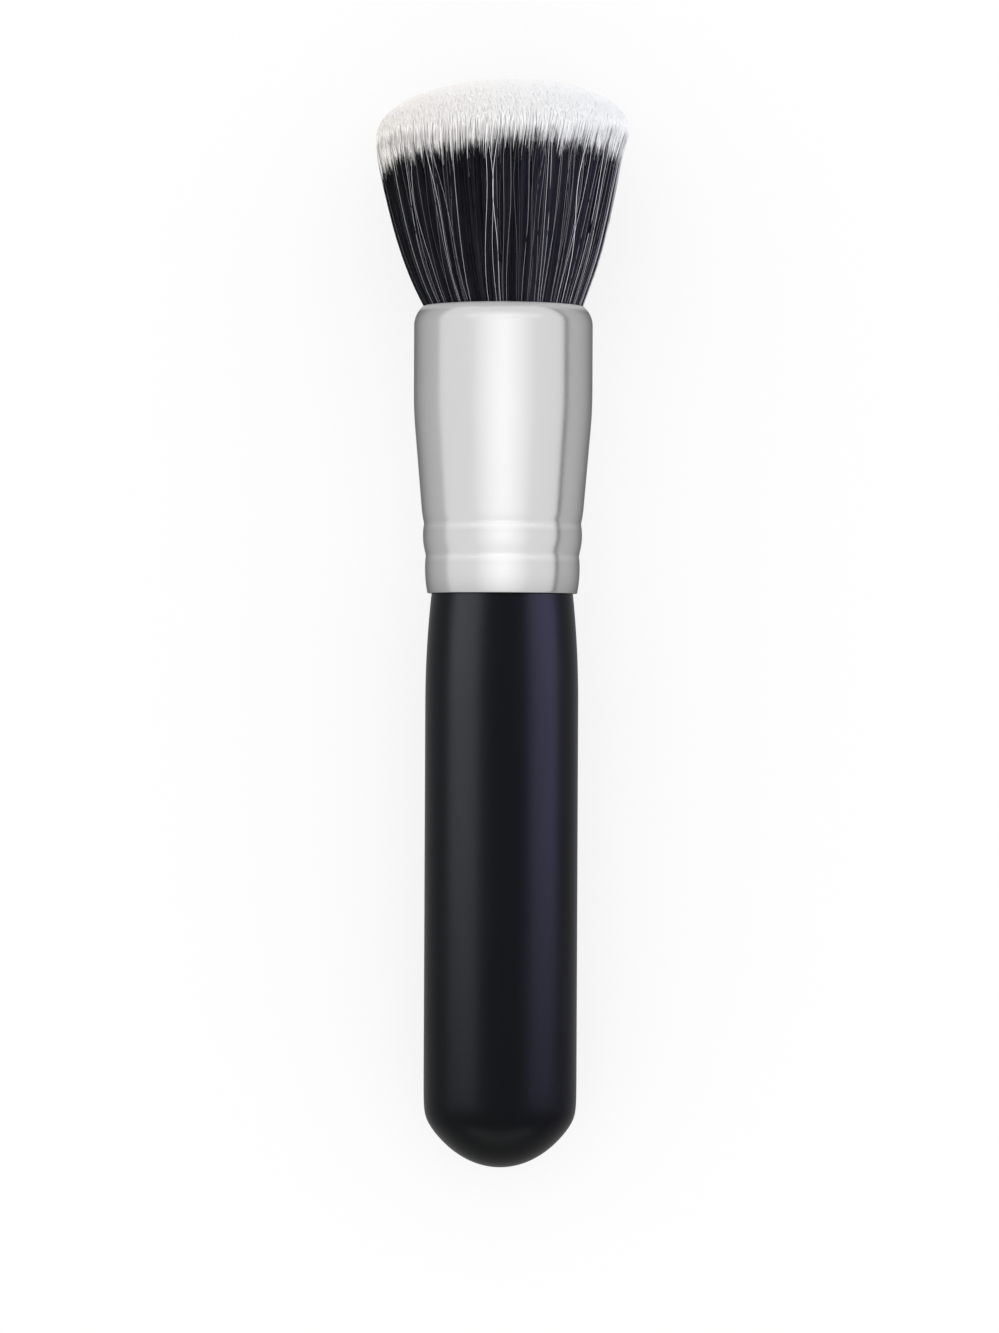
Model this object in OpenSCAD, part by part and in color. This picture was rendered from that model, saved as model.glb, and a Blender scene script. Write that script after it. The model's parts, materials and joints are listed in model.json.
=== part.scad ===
// Stippling brush: a short, thick make-up brush with a flat-topped head of two kinds of fibre.
// A turned wooden handle is crimped into a drawn aluminium ferrule. Dark goat hair and longer white
// synthetic fibres are tied together at the root, cast into a resin plug and spread out above the mouth.
//
// Every piece is drawn along the brush's own axis: s runs from 0 at the handle's domed end towards the
// head, and r is the distance from the axis. lay() and laid_down() then lower the brush onto its side,
// as it comes to rest on a table: on the handle's shoulder and on the widest ring of the soft head.

/* [Handle] */
// Diameter of the straight grip
grip_d = 21.1; // [18:0.1:26]
// Length of the handle that shows below the ferrule
handle_len = 79.2; // [55:0.1:160]
// Height of the domed end
dome_h = 8.2; // [4:0.1:8.9]
// Radius that softens the shoulder between dome and grip
shoulder_r = 2; // [0.5:0.1:3.5]
// Length of the curve that draws the grip in towards the ferrule
neck_len = 15.2; // [6:0.1:30]
// Gap between the handle and the inside of the ferrule
tenon_gap = 0.15; // [0.05:0.01:0.3]
// Length of the straight stub above the upper crimp
stub_len = 3.4; // [1.5:0.1:8]
// Chamfer at the end of the stub
stub_chamfer = 0.8; // [0.3:0.1:1.2]

/* [Ferrule] */
// Thickness of the aluminium sheet
wall = 0.45; // [0.3:0.01:0.8]
// Outside diameter at the open end that takes the handle
end_d = 20.66; // [20:0.01:21]
// Height of the lower crimp above the open end
low_crimp_h = 5.45; // [4:0.05:6.5]
// Outside diameter at the bottom of the lower crimp
low_crimp_d = 20.98; // [20.6:0.01:21.3]
// Height of the upper crimp above the open end
high_crimp_h = 10.2; // [8.5:0.05:14]
// Outside diameter at the bottom of the upper crimp
high_crimp_d = 21.5; // [21:0.01:21.8]
// Depth of each crimp
crimp_depth = 0.12; // [0.04:0.01:0.25]
// Height of each crimp
crimp_h = 0.6; // [0.3:0.05:1]
// How far the hem below the lower crimp bows out
hem_bow = 0.12; // [0:0.01:0.3]
// How far the band between the crimps bows out
band_bow = 0.22; // [0:0.01:0.4]
// Outside diameter at the foot of the cone, just above the upper crimp
cone_foot_d = 22.3; // [22.1:0.01:22.8]
// Height above the upper crimp where the cone reaches that diameter
cone_foot_h = 1.2; // [0.8:0.05:2]
// Height above the open end where the cone meets the straight body
cone_top_h = 25.1; // [18:0.1:30]
// Outside diameter of the straight body
body_d = 24.64; // [23.6:0.01:27]
// Radius of the bend between cone and straight body
bend_r = 60; // [20:1:90]
// Height above the open end where the mouth starts to roll in
roll_h = 36.3; // [33.5:0.1:45]
// Radius of the rolled mouth
roll_r = 3.75; // [3.2:0.05:5]
// Diameter of the mouth at its outer edge
mouth_d = 21.9; // [20.6:0.05:23]

/* [Root] */
// Diameter of the hair where it is tied and cast in
root_d = 20.6; // [18:0.1:21]
// Length of hair that stands in the resin
root_len = 9.5; // [7:0.1:12]
// Thickness of resin below the hair
plug_floor = 2; // [1:0.1:3]
// Gap between the resin plug and the pieces around it
cast_gap = 0.04; // [0.02:0.01:0.1]
// Diameter of the binding thread
thread_d = 0.6; // [0.4:0.05:0.8]
// Turns of the binding thread
thread_turns = 5; // [3:1:7]
// Height of the first turn above the end of the hair
thread_h = 3; // [2:0.1:4]

/* [Head] */
// Widest diameter of the spread head
head_d = 34.86; // [26:0.1:44]
// Height of the widest ring above the mouth
head_h = 24; // [18:0.1:40]
// Height of the domed crown above the widest ring
crown_h = 7.3; // [3:0.1:12]
// Squareness of the crown's rim: 2 is an ellipse, and more is squarer
crown_power = 2.2; // [2:0.1:4]
// How far the outer fibres bow out between the mouth and the widest ring
fibre_bow = 1; // [0:0.05:2]
// Height above the mouth where the dark hair ends
dark_h = 20.7; // [14:0.1:22]
// Most that a lock of dark hair ends above or below that height
dark_spread = 1.3; // [0.2:0.1:1.6]
// Lean of the head to one side, in degrees
head_lean = 1.5; // [0:0.1:4]
// Slant of the crown, whose far side from the lean stands higher, in degrees
crown_slant = 2.2; // [0:0.1:4]
// Depth to which the soft head is pressed flat where it rests
flat_depth = 0.6; // [0.3:0.05:1]

/* [Locks] */
// Locks of hair round the head
locks = 72; // [36:4:80]
// Depth of the grooves between the locks
groove = 0.5; // [0.2:0.05:0.8]
// Share of the grooves that hold a white strand
strand_share = 0.78; // [0.2:0.02:0.8]
// Share of each groove that its white strand fills
strand_fill = 0.3; // [0.2:0.02:0.5]
// Gap between a white strand and the groove that it lies in
strand_gap = 0.05; // [0.03:0.01:0.1]
// Height of the fibre tips that stipple the crown
tip_h = 0.35; // [0:0.05:0.5]

/* [Hidden] */

grip_r = grip_d / 2;
body_r = body_d / 2;
head_r = head_d / 2;
root_r = root_d / 2;
thread_r = thread_d / 2;

arc_step = 3;      // degrees between the points of an arc
bow_steps = 8;     // spans along a bowed line
neck_steps = 8;    // spans along the neck's curve

// A point at angle a on a circle
function on_circle(centre, radius, a) = centre + radius * [cos(a), sin(a)];

// The points of an arc, both ends included
function arc(centre, radius, from, to, steps = 0) =
    let (n = steps > 0 ? steps : max(2, ceil(abs(to - from) / arc_step)))
    [for (i = [0:n]) on_circle(centre, radius, from + (to - from) * i / n)];

// A line from a to b that bows out by that much in its middle
function bowed(a, b, bow) =
    [for (i = [0:bow_steps]) let (t = i / bow_steps) a + (b - a) * t + [4 * bow * t * (1 - t), 0]];

// Heights along the brush
ferrule_s = handle_len;
stub_top = ferrule_s + high_crimp_h + crimp_h + stub_len;
root_s = stub_top + plug_floor;
plug_top = root_s + root_len;
roll_s = ferrule_s + roll_h;
roll_centre = [body_r - roll_r, roll_s];
roll_angle = acos((mouth_d / 2 - roll_centre[0]) / roll_r);
lip_edge = on_circle(roll_centre, roll_r - wall, roll_angle);
mouth_s = lip_edge[1];
mouth_top = on_circle(roll_centre, roll_r, roll_angle)[1];

// The ferrule's outline from its open end to its mouth, moved inwards by inset
cone_foot = [cone_foot_d / 2, high_crimp_h + cone_foot_h];
cone_angle = atan((body_r - cone_foot[0]) / (cone_top_h - cone_foot[1]));
bend_len = bend_r * tan(cone_angle / 2);

function sheet_line(inset) =
    let (
        half = crimp_h / 2,
        low = [low_crimp_d / 2, low_crimp_h],
        high = [high_crimp_d / 2, high_crimp_h],
        line = concat(
            bowed([end_d / 2, 0], low + [crimp_depth / 2, -half], hem_bow),
            [low],
            bowed(low + [crimp_depth, half], high + [crimp_depth / 2, -half], band_bow),
            [high],
            [high + [crimp_depth * 1.5, half]],
            [cone_foot],
            arc([body_r - bend_r, cone_top_h + bend_len], bend_r, -cone_angle, 0, bow_steps)
        )
    )
    concat(
        [for (p = line) [p[0] - inset, p[1] + ferrule_s]],
        arc(roll_centre, roll_r - inset, 0, roll_angle)
    );

// The radius of that outline at height s
function sheet_r(inset, s) =
    lookup(s, [for (p = sheet_line(inset)) [p[1], p[0]]]);

// The part of that outline between two heights
function sheet_between(inset, from, to) = concat(
    [[sheet_r(inset, from), from]],
    [for (p = sheet_line(inset)) if (p[1] > from + 0.01 && p[1] < to - 0.01) p],
    [[sheet_r(inset, to), to]]
);

// How the brush lies: it turns about the shoulder's centre until the head is pressed in by flat_depth
dome_r = (pow(grip_r, 2) + pow(dome_h, 2)) / (2 * dome_h);
shoulder = [
    grip_r - shoulder_r,
    dome_r - sqrt(pow(dome_r - shoulder_r, 2) - pow(grip_r - shoulder_r, 2))
];
rim_s = mouth_s + head_h;
span = [rim_s - shoulder[1], head_r - shoulder[0]];
tilt = atan2(span[1], span[0]) - asin((flat_depth + shoulder_r) / norm(span));
lift = shoulder[0] * cos(tilt) - shoulder[1] * sin(tilt) + shoulder_r;
middle = cos(tilt) * (rim_s + crown_h) / 2;
head_shift = sin(head_lean) * head_h;

// A point of the brush, [x, height off the axis, s], where it lies on the table. The handle lies off
// the middle by as much as the lean carries the head the other way.
function lay(p) = [
    p[0] + head_shift,
    p[2] * cos(tilt) - p[1] * sin(tilt) - middle,
    p[2] * sin(tilt) + p[1] * cos(tilt) + lift
];

module laid_down() {
    translate([head_shift, -middle, lift])
        rotate([tilt - 90, 0, 0])
            children();
}

// The handle: dome, shoulder, straight grip and neck, then the tenon that the crimps bite into
function tenon_inset() = wall + tenon_gap;
neck_r = sheet_r(tenon_inset(), ferrule_s);
neck_drop = grip_r - neck_r;
neck_arc_r = (pow(neck_len, 2) + pow(neck_drop, 2)) / (2 * neck_drop);
neck_s = handle_len - neck_len;
stub_s = ferrule_s + high_crimp_h;
stub_r = sheet_r(tenon_inset(), stub_s);

module handle() {
    shoulder_angle = atan2(shoulder[1] - dome_r, shoulder[0]);
    outline = concat(
        arc([0, dome_r], dome_r, -90, shoulder_angle),
        arc(shoulder, shoulder_r, shoulder_angle, 0),
        arc([grip_r - neck_arc_r, neck_s], neck_arc_r, 0, asin(neck_len / neck_arc_r), neck_steps),
        [for (p = sheet_line(tenon_inset())) if (p[1] > ferrule_s + 0.01 && p[1] < stub_s - 0.01) p],
        [[stub_r, stub_s]],
        [[stub_r, stub_top - stub_chamfer]],
        [[stub_r - stub_chamfer, stub_top]],
        [[0, stub_top]]
    );
    color("#1d2022")
        laid_down()
            rotate_extrude()
                polygon(outline);
}

// The ferrule: one drawn sheet, crimped twice at the bottom and rolled in at the mouth
module ferrule() {
    outer = sheet_line(0);
    inner = sheet_line(wall);
    color("#c9cacb")
        laid_down()
            rotate_extrude()
                polygon(concat(outer, [for (i = [len(inner) - 1:-1:0]) inner[i]]));
}

// The binding thread: turns that lie side by side round the root
thread_pitch = thread_d * 0.9;
function turn_s(i) = root_s + thread_h + i * thread_pitch;

module thread_section() {
    for (i = [0:thread_turns - 1])
        translate([root_r + thread_r, turn_s(i)])
            circle(r = thread_r, $fn = 32);
}

module binding_thread() {
    color("#8a8478")
        laid_down()
            rotate_extrude()
                thread_section();
}

// The resin plug: cast between handle, ferrule and hair, with a seat for the root and its thread
module resin_plug() {
    from = stub_top + cast_gap;
    seat_r = root_r + thread_d + cast_gap;
    thread_from = turn_s(0) - thread_r - cast_gap;
    thread_to = turn_s(thread_turns - 1) + thread_r + cast_gap;
    outline = concat(
        [[0, from]],
        sheet_between(wall + cast_gap, from, plug_top),
        [[root_r + cast_gap, plug_top]],
        [[root_r + cast_gap, thread_to]],
        [[seat_r, thread_to]],
        [[seat_r, thread_from]],
        [[root_r + cast_gap, thread_from]],
        [[root_r + cast_gap, root_s]],
        [[0, root_s]]
    );
    color("#b98a3e")
        laid_down()
            rotate_extrude()
                polygon(outline);
}

// The outline of the spread hair: it fills the ferrule, is gripped by the mouth and flares above it
lip_gap = 0.06;
lip_r = lip_edge[0] - lip_gap;
head_rise = head_r - lip_r;

function flare_r(s) =
    let (u = max(0, min(1, (s - mouth_s) / head_h)))
    lip_r + head_rise * u + 4 * fibre_bow * u * (1 - u);

// Height of the crown at a share of the widest radius
function crown_s(share) = rim_s + crown_h * pow(1 - pow(share, crown_power), 1 / crown_power);

// Columns run up the head in turn along a ridge (even) and a groove (odd). Their number is a whole
// multiple of 8, because the crown's rings halve three times.
columns = 8 * round(locks / 4);
column_step = 360 / columns;
wander = rands(-0.28, 0.28, columns, 41);
weight = rands(0.55, 1.25, columns, 17);
ends = rands(0.15, 1, columns, 29);

function is_ridge(j) = j % 2 == 0;
function wrap(j) = (j + columns) % columns;
function column_a(j) = (j + wander[j]) * column_step;

// Where the dark hair ends in a column: high on a ridge and low in a groove
function dark_end(j) = mouth_s + dark_h + (is_ridge(j) ? 1 : -1) * dark_spread * ends[j];

// How deep the grooves are at height s: none at the mouth, full by a third of the way, faint at the rim
function groove_at(s) =
    let (u = max(0, min(1, (s - mouth_s) / head_h)))
    groove * min(1, 3.2 * u) * (u < 0.85 ? 1 : 1 - (u - 0.85) / 0.15 * 0.7);

function skin_r(j, s) = flare_r(s) - (is_ridge(j) ? 0.12 : 1) * groove_at(s) * weight[j];

// A point of the hair where it lies: the head leans to one side, its ends slant the other way, and what
// would pass the table is pressed flat
function hair_point(radius, a, s) =
    let (
        rise = max(0, s - mouth_s),
        u = min(1, rise / head_h),
        x = radius * cos(a),
        p = lay([
            x - sin(head_lean) * rise,
            radius * sin(a),
            s + sin(crown_slant) * x * u
        ])
    )
    [p[0], p[1], max(0, p[2])];

function skin_point(j, s) = hair_point(skin_r(j, s), column_a(j), s);

// Rings of points become a closed solid, with a fan at each end. The first ring is the lowest, and a
// ring has as many points as the one below it or half as many.
function starts_of(rings) = [for (i = 0, n = 0; i < len(rings); n = n + len(rings[i]), i = i + 1) n];

function even_band(low, high, n) = [
    for (j = [0:n - 1])
        let (k = (j + 1) % n)
        each [[low + j, high + j, low + k], [low + k, high + j, high + k]]
];

function halving_band(low, high, n) = [
    for (j = [0:n - 1])
        let (k = (j + 1) % n, a = low + 2 * j, b = low + 2 * k)
        each [[a, high + j, a + 1], [a + 1, high + j, high + k], [a + 1, high + k, b]]
];

function fan(ring, tip, n, up) = [
    for (j = [0:n - 1])
        let (a = ring + j, b = ring + (j + 1) % n)
        up ? [a, tip, b] : [b, tip, a]
];

module solid_of_rings(rings, low_tip, high_tip) {
    last = len(rings) - 1;
    starts = starts_of(rings);
    total = starts[last] + len(rings[last]);
    bands = [
        for (i = [0:last - 1])
            let (n = len(rings[i + 1]))
            each len(rings[i]) == n
                ? even_band(starts[i], starts[i + 1], n)
                : halving_band(starts[i], starts[i + 1], n)
    ];
    polyhedron(
        points = concat([for (ring = rings) each ring], [low_tip, high_tip]),
        faces = concat(
            bands,
            fan(0, total, len(rings[0]), false),
            fan(starts[last], total + 1, len(rings[last]), true)
        ),
        convexity = 4
    );
}

// The dark hair's ends form a low dome inside the head, which the white fibres stand on
inner_share = 0.8;
inner_end_s = mouth_s + dark_h + 1.5;
middle_end_s = mouth_s + dark_h + 2.5;

function edge_ring() = [for (j = [0:columns - 1]) skin_point(j, dark_end(j))];
function inner_ring() = [
    for (j = [0:columns - 1]) hair_point(inner_share * flare_r(inner_end_s), column_a(j), inner_end_s)
];
function end_tip() = hair_point(0, 0, middle_end_s);

// The dark goat hair: cast root, belly inside the ferrule, neck at the mouth, and flared locks
root_fit = 0.02;
belly_gap = 0.12;
dark_rings = [0.03, 0.12, 0.27, 0.45, 0.64, 0.83];

function plain_ring(radius, s) = [for (j = [0:columns - 1]) hair_point(radius, j * column_step, s)];

module goat_hair() {
    belly_r = sheet_r(wall, roll_s) - belly_gap;
    rings = concat(
        [
            plain_ring(root_r - root_fit, root_s + root_fit),
            plain_ring(root_r - root_fit, plug_top),
            plain_ring(belly_r, roll_s),
            plain_ring(lip_r, mouth_s)
        ],
        [
            for (share = dark_rings) [
                for (j = [0:columns - 1]) skin_point(j, mouth_s + share * (dark_end(j) - mouth_s))
            ]
        ],
        [edge_ring(), inner_ring()]
    );
    color("#24252b")
        solid_of_rings(rings, hair_point(0, 0, root_s + root_fit), end_tip());
}

// The white fibres: the crown that stands above the dark hair. Its rings have fewer points towards the
// middle, so that its tips stay evenly spaced.
crown_rings = [0.995, 0.975, 0.94, 0.88, 0.8, 0.72, 0.64, 0.56, 0.48, 0.4, 0.32, 0.24, 0.15, 0.07];
edge_rings = [0.35, 0.7];
function every(share) = share > 0.84 ? 1 : share > 0.52 ? 2 : share > 0.28 ? 4 : 8;

function crown_ring(i) =
    let (share = crown_rings[i], step = every(share))
    [
        for (j = [0:step:columns - 1])
            let (tip = (i + j / step) % 2 == 0 ? tip_h * ends[(j + 7 * i) % columns] : 0)
            hair_point(share * head_r, column_a(j), crown_s(share) + tip)
    ];

module white_fibres() {
    rings = concat(
        [inner_ring(), edge_ring()],
        [
            for (share = edge_rings) [
                for (j = [0:columns - 1]) skin_point(j, dark_end(j) + share * (rim_s - dark_end(j)))
            ]
        ],
        [[for (j = [0:columns - 1]) skin_point(j, rim_s)]],
        [for (i = [0:len(crown_rings) - 1]) crown_ring(i)]
    );
    color("#e9e8e4")
        solid_of_rings(rings, end_tip(), hair_point(0, 0, rim_s + crown_h));
}

// The white strands: fibres of the crown that show in the grooves between the dark locks. Each is a
// three-sided strand that tapers towards the mouth.
strand_rings = concat(dark_rings, [0.995]);

function strand_section(j, share) =
    let (
        s = mouth_s + share * (dark_end(j) - mouth_s),
        left = wrap(j - 1),
        right = wrap(j + 1),
        foot = skin_point(j, s),
        out = hair_point(skin_r(j, s) + strand_gap, column_a(j), s) - foot,
        to_left = skin_point(left, mouth_s + share * (dark_end(left) - mouth_s)) - foot,
        to_right = skin_point(right, mouth_s + share * (dark_end(right) - mouth_s)) - foot
    )
    [foot + out, foot + to_left * strand_fill + out, foot + to_right * strand_fill + out];

module strand(j) {
    n = len(strand_rings);
    points = [for (share = strand_rings) each strand_section(j, share)];
    sides = [
        for (i = [0:n - 2])
            for (k = [0:2])
                let (a = 3 * i + k, b = 3 * i + (k + 1) % 3)
                each [[a, a + 3, b], [b, a + 3, b + 3]]
    ];
    polyhedron(
        points = points,
        faces = concat(sides, [[0, 1, 2]], [[3 * n - 1, 3 * n - 2, 3 * n - 3]])
    );
}

chance = rands(0, 1, columns, 53);

module white_strands() {
    color("#e9e8e4")
        for (j = [1:2:columns - 1])
            if (chance[j] < strand_share)
                strand(j);
}

handle();
ferrule();
resin_plug();
binding_thread();
goat_hair();
white_fibres();
white_strands();
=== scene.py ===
"""Looks of a stippling brush: black lacquered handle, satin ferrule, and a head of dark and white fibres."""

import json
import logging
import math
from collections.abc import Iterable, Sequence
from dataclasses import dataclass, field, replace
from enum import Enum
from functools import cached_property

import bmesh
import bpy
import numpy as np
from mathutils import Matrix, Vector

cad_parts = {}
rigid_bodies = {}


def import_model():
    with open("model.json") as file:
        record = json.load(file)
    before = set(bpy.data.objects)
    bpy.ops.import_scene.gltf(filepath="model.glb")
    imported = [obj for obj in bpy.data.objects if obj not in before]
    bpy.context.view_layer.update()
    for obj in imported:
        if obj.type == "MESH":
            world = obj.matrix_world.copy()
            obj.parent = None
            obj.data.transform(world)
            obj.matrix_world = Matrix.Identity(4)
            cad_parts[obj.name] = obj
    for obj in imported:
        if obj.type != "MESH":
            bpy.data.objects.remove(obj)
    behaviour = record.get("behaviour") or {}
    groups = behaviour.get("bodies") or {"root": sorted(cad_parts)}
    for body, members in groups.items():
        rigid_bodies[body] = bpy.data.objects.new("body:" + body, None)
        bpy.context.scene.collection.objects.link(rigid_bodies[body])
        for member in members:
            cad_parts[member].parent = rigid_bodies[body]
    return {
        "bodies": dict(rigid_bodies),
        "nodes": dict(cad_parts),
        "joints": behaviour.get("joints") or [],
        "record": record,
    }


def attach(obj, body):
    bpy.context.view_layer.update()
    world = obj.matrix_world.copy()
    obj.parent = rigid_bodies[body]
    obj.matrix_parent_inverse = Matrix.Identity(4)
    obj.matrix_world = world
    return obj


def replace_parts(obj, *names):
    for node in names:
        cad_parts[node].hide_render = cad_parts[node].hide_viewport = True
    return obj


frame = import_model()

log = logging.getLogger("brush")
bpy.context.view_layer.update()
MM = 0.001
FULL_TURN = 2 * math.pi
MERGE_MM = 1e-4
TONE = "tone"
BOW_STEPS = 6
ROUND_STEPS = 3
ROUND_MOST = 0.45
MIX_SHARE, MIX_LOW, MIX_HIGH, MIX_RESULT = 0, 6, 7, 2

Triple = tuple[float, float, float]
Colour = Triple
Point = tuple[float, float]
Array = np.ndarray


class Slot(Enum):
    """The record's material slots."""

    LACQUER = "black_lacquer"
    ALUMINIUM = "satin_aluminium"
    RESIN = "cast_resin"
    THREAD = "thread"
    DARK = "dark_hair"
    WHITE = "white_fibre"


class Visible(Enum):
    """The kinds of ray that see the floor shine, as outputs of the Light Path node."""

    CAMERA = "Is Camera Ray"
    GLOSSY = "Is Glossy Ray"
    TRANSMISSION = "Is Transmission Ray"


@dataclass(frozen=True)
class BrushAxis:
    """The brush's own axis where the brush lies. Places along it are in millimetres from the domed end.

    Attributes:
        foot: The handle's tip on the axis, in metres.
        along: Unit vector towards the head.
        above: Unit vector square to the axis, upwards.
    """

    foot: Vector
    along: Vector
    above: Vector

    @classmethod
    def from_frame(cls, loaded: dict) -> "BrushAxis":
        """Finds the axis from the grip mount and the handle's solid.


        Returns:
            The axis.
        """
        grip = next(m for m in loaded["record"]["mounts"] if m["name"] == "grip")
        along = -Vector(grip["axis"]).normalized()
        centre = Vector(grip["pos_m"])
        tip = min((v.co - centre).dot(along) for v in loaded["nodes"]["handle"].data.vertices)
        return cls(centre + tip * along, along, Vector((1, 0, 0)).cross(along))

    @property
    def tilt(self) -> float:
        """Angle by which the axis rises towards the head, in radians."""
        return math.asin(self.along.z)

    @property
    def matrix(self) -> Matrix:
        """Turns (sideways, above, along) in millimetres into the frame's metres."""
        turn = Matrix((Vector((1, 0, 0)), self.above, self.along)).transposed().to_4x4()
        return Matrix.Translation(self.foot) @ turn @ Matrix.Scale(MM, 4)

    def place(self, points: Array) -> Array:
        """Turns points (sideways, above, along) in millimetres into the frame's metres.

        Args:
            points: Array whose last axis holds the three numbers.

        Returns:
            An array of the same shape.
        """
        basis = np.array([[1, 0, 0], list(self.above), list(self.along)])
        return np.array(self.foot) + MM * points @ basis


AXIS = BrushAxis.from_frame(frame)


@dataclass
class Wire:
    """A shader value or colour, on an output socket, with Python's operators for its maths."""

    shader: "Shader"
    socket: bpy.types.NodeSocket | None

    def _maths(self, operation: str, *values: "Wire | float") -> "Wire":
        """Adds a Math node.

        Args:
            operation: The node's operation.
            values: Its inputs, in order.

        Returns:
            Its output.
        """
        return self.shader.node("ShaderNodeMath", {"operation": operation}, dict(enumerate(values)))

    def __add__(self, other: "Wire | float") -> "Wire":
        """Sum."""
        return self._maths("ADD", self, other)

    __radd__ = __add__

    def __sub__(self, other: "Wire | float") -> "Wire":
        """Difference."""
        return self._maths("SUBTRACT", self, other)

    def __rsub__(self, other: float) -> "Wire":
        """Difference, with the number first."""
        return self._maths("SUBTRACT", other, self)

    def __mul__(self, other: "Wire | float") -> "Wire":
        """Product."""
        return self._maths("MULTIPLY", self, other)

    __rmul__ = __mul__

    def __truediv__(self, other: "Wire | float") -> "Wire":
        """Quotient."""
        return self._maths("DIVIDE", self, other)

    def peak(self, place: float, width: float) -> "Wire":
        """1 where the value is at place, falling to 0 a width away on both sides.

        Args:
            place: The middle of the peak.
            width: Its half width.

        Returns:
            The peak.
        """
        return (1 - self._maths("ABSOLUTE", self - place) / width).clamp()

    def clamp(self) -> "Wire":
        """The value held between 0 and 1."""
        return self.shader.node("ShaderNodeClamp", {}, {"Value": self})


class Shader:
    """The nodes of a material or world, added one at a time."""

    def __init__(self, owner: bpy.types.Material | bpy.types.World) -> None:
        """Empties the owner's nodes.

        Args:
            owner: The material or world.
        """
        owner.use_nodes = True
        self.owner = owner
        self.tree = owner.node_tree
        self.tree.nodes.clear()

    def node(
        self,
        kind: str,
        settings: dict[str, object] | None = None,
        inputs: "dict[str | int, Wire | float | Sequence[float]] | None" = None,
        output: str | int = 0,
    ) -> Wire:
        """Adds a node.

        Args:
            kind: The node's type.
            settings: Its properties.
            inputs: Values or links of its sockets, by name or number.
            output: The socket to return.

        Returns:
            The output asked for.
        """
        made = self.tree.nodes.new(kind)
        for name, value in (settings or {}).items():
            setattr(made, name, value)
        for name, value in (inputs or {}).items():
            if isinstance(value, Wire):
                self.tree.links.new(value.socket, made.inputs[name])
            else:
                made.inputs[name].default_value = value
        return Wire(self, made.outputs[output] if made.outputs else None)

    def colour_mix(
        self, share: "Wire | float", low: "Wire | Colour", high: "Wire | Colour", blend: str = "MIX"
    ) -> Wire:
        """Mixes two colours.

        Args:
            share: 0 for low and 1 for high.
            low: First colour.
            high: Second colour.
            blend: The node's way of blending.

        Returns:
            The mixed colour.
        """
        opaque = [c if isinstance(c, Wire) else (*c, 1) for c in (low, high)]
        return self.node(
            "ShaderNodeMix",
            {"data_type": "RGBA", "clamp_factor": True, "blend_type": blend},
            {MIX_SHARE: share, MIX_LOW: opaque[0], MIX_HIGH: opaque[1]},
            MIX_RESULT,
        )

    @cached_property
    def where(self) -> Wire:
        """The brush's coordinates in metres, turned so that X is sideways and Y runs from the domed end.

        Returns:
            The vector.
        """
        here = self.node("ShaderNodeTexCoord", output="Object")
        placing = {"Vector": here, "Location": tuple(AXIS.foot), "Rotation": (AXIS.tilt, 0, 0)}
        return self.node("ShaderNodeMapping", {"vector_type": "TEXTURE"}, placing)

    def part(self, letter: str) -> Wire:
        """One of the brush's coordinates."""
        return self.node("ShaderNodeSeparateXYZ", {}, {"Vector": self.where}, letter)

    def noise(self, per_m: Triple, detail: float = 3) -> Wire:
        """Noise in the brush's coordinates.

        Args:
            per_m: Cycles a metre along X, Y and Z.
            detail: Octaves.

        Returns:
            A value about 0.5.
        """
        scaled = self.node("ShaderNodeVectorMath", {"operation": "MULTIPLY"}, {0: self.where, 1: per_m})
        return self.node("ShaderNodeTexNoise", {}, {"Vector": scaled, "Scale": 1, "Detail": detail})

    def bump(self, height: Wire, strength: float, distance: float) -> Wire:
        """A normal from a height.

        Args:
            height: The height, from 0 to 1.
            strength: The share of the bump that shows.
            distance: The bump's depth in metres.

        Returns:
            The normal.
        """
        return self.node("ShaderNodeBump", {}, {"Height": height, "Strength": strength, "Distance": distance})

    def surface(self, **inputs: "Wire | float | Sequence[float]") -> None:
        """Ends the material with a Principled shader.

        Args:
            inputs: Its sockets, with underscores for spaces.
        """
        named = {name.replace("_", " "): value for name, value in inputs.items()}
        self.finish(self.node("ShaderNodeBsdfPrincipled", {}, named))

    def finish(self, closure: Wire) -> None:
        """Joins a shader to the output.

        Args:
            closure: The shader.
        """
        kind = "World" if isinstance(self.owner, bpy.types.World) else "Material"
        self.node(f"ShaderNodeOutput{kind}", {}, {"Surface": closure})


@dataclass(frozen=True)
class Finish:
    """A finish, laid on in the brush's own coordinates. Numbers per_m are cycles a metre of its grain."""

    name: str

    def material(self) -> bpy.types.Material:
        """Makes the finish's material.

        Returns:
            The material.
        """
        made = bpy.data.materials.new(self.name)
        self.paint(Shader(made))
        return made

    def paint(self, shader: Shader) -> None:
        """Adds the finish's nodes to the material's shader."""
        raise NotImplementedError


@dataclass(frozen=True)
class Lacquer(Finish):
    """Matt black lacquer, sprayed on turned wood and rubbed down."""

    name: str = "black_lacquer"
    colour: Colour = (0.001, 0.0012, 0.0014)
    worn: Colour = (0.0018, 0.002, 0.0023)
    roughness: float = 0.34
    roughness_spread: float = 0.04
    reflectance: float = 0.06
    cloud_per_m: Triple = (130, 45, 130)
    peel_per_m: Triple = (2600,) * 3
    peel_strength: float = 0.12
    peel_m: float = 0.00002

    def paint(self, shader: Shader) -> None:
        """Adds faint clouds and the sprayed skin's fine peel.

        Args:
            shader: The material's nodes.
        """
        cloud = shader.noise(self.cloud_per_m)
        peel = shader.noise(self.peel_per_m, 1)
        shader.surface(
            Base_Color=shader.colour_mix(cloud, self.colour, self.worn),
            Roughness=self.roughness + self.roughness_spread * (cloud - 0.5),
            Specular_IOR_Level=self.reflectance,
            Normal=shader.bump(peel, self.peel_strength, self.peel_m),
        )


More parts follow.
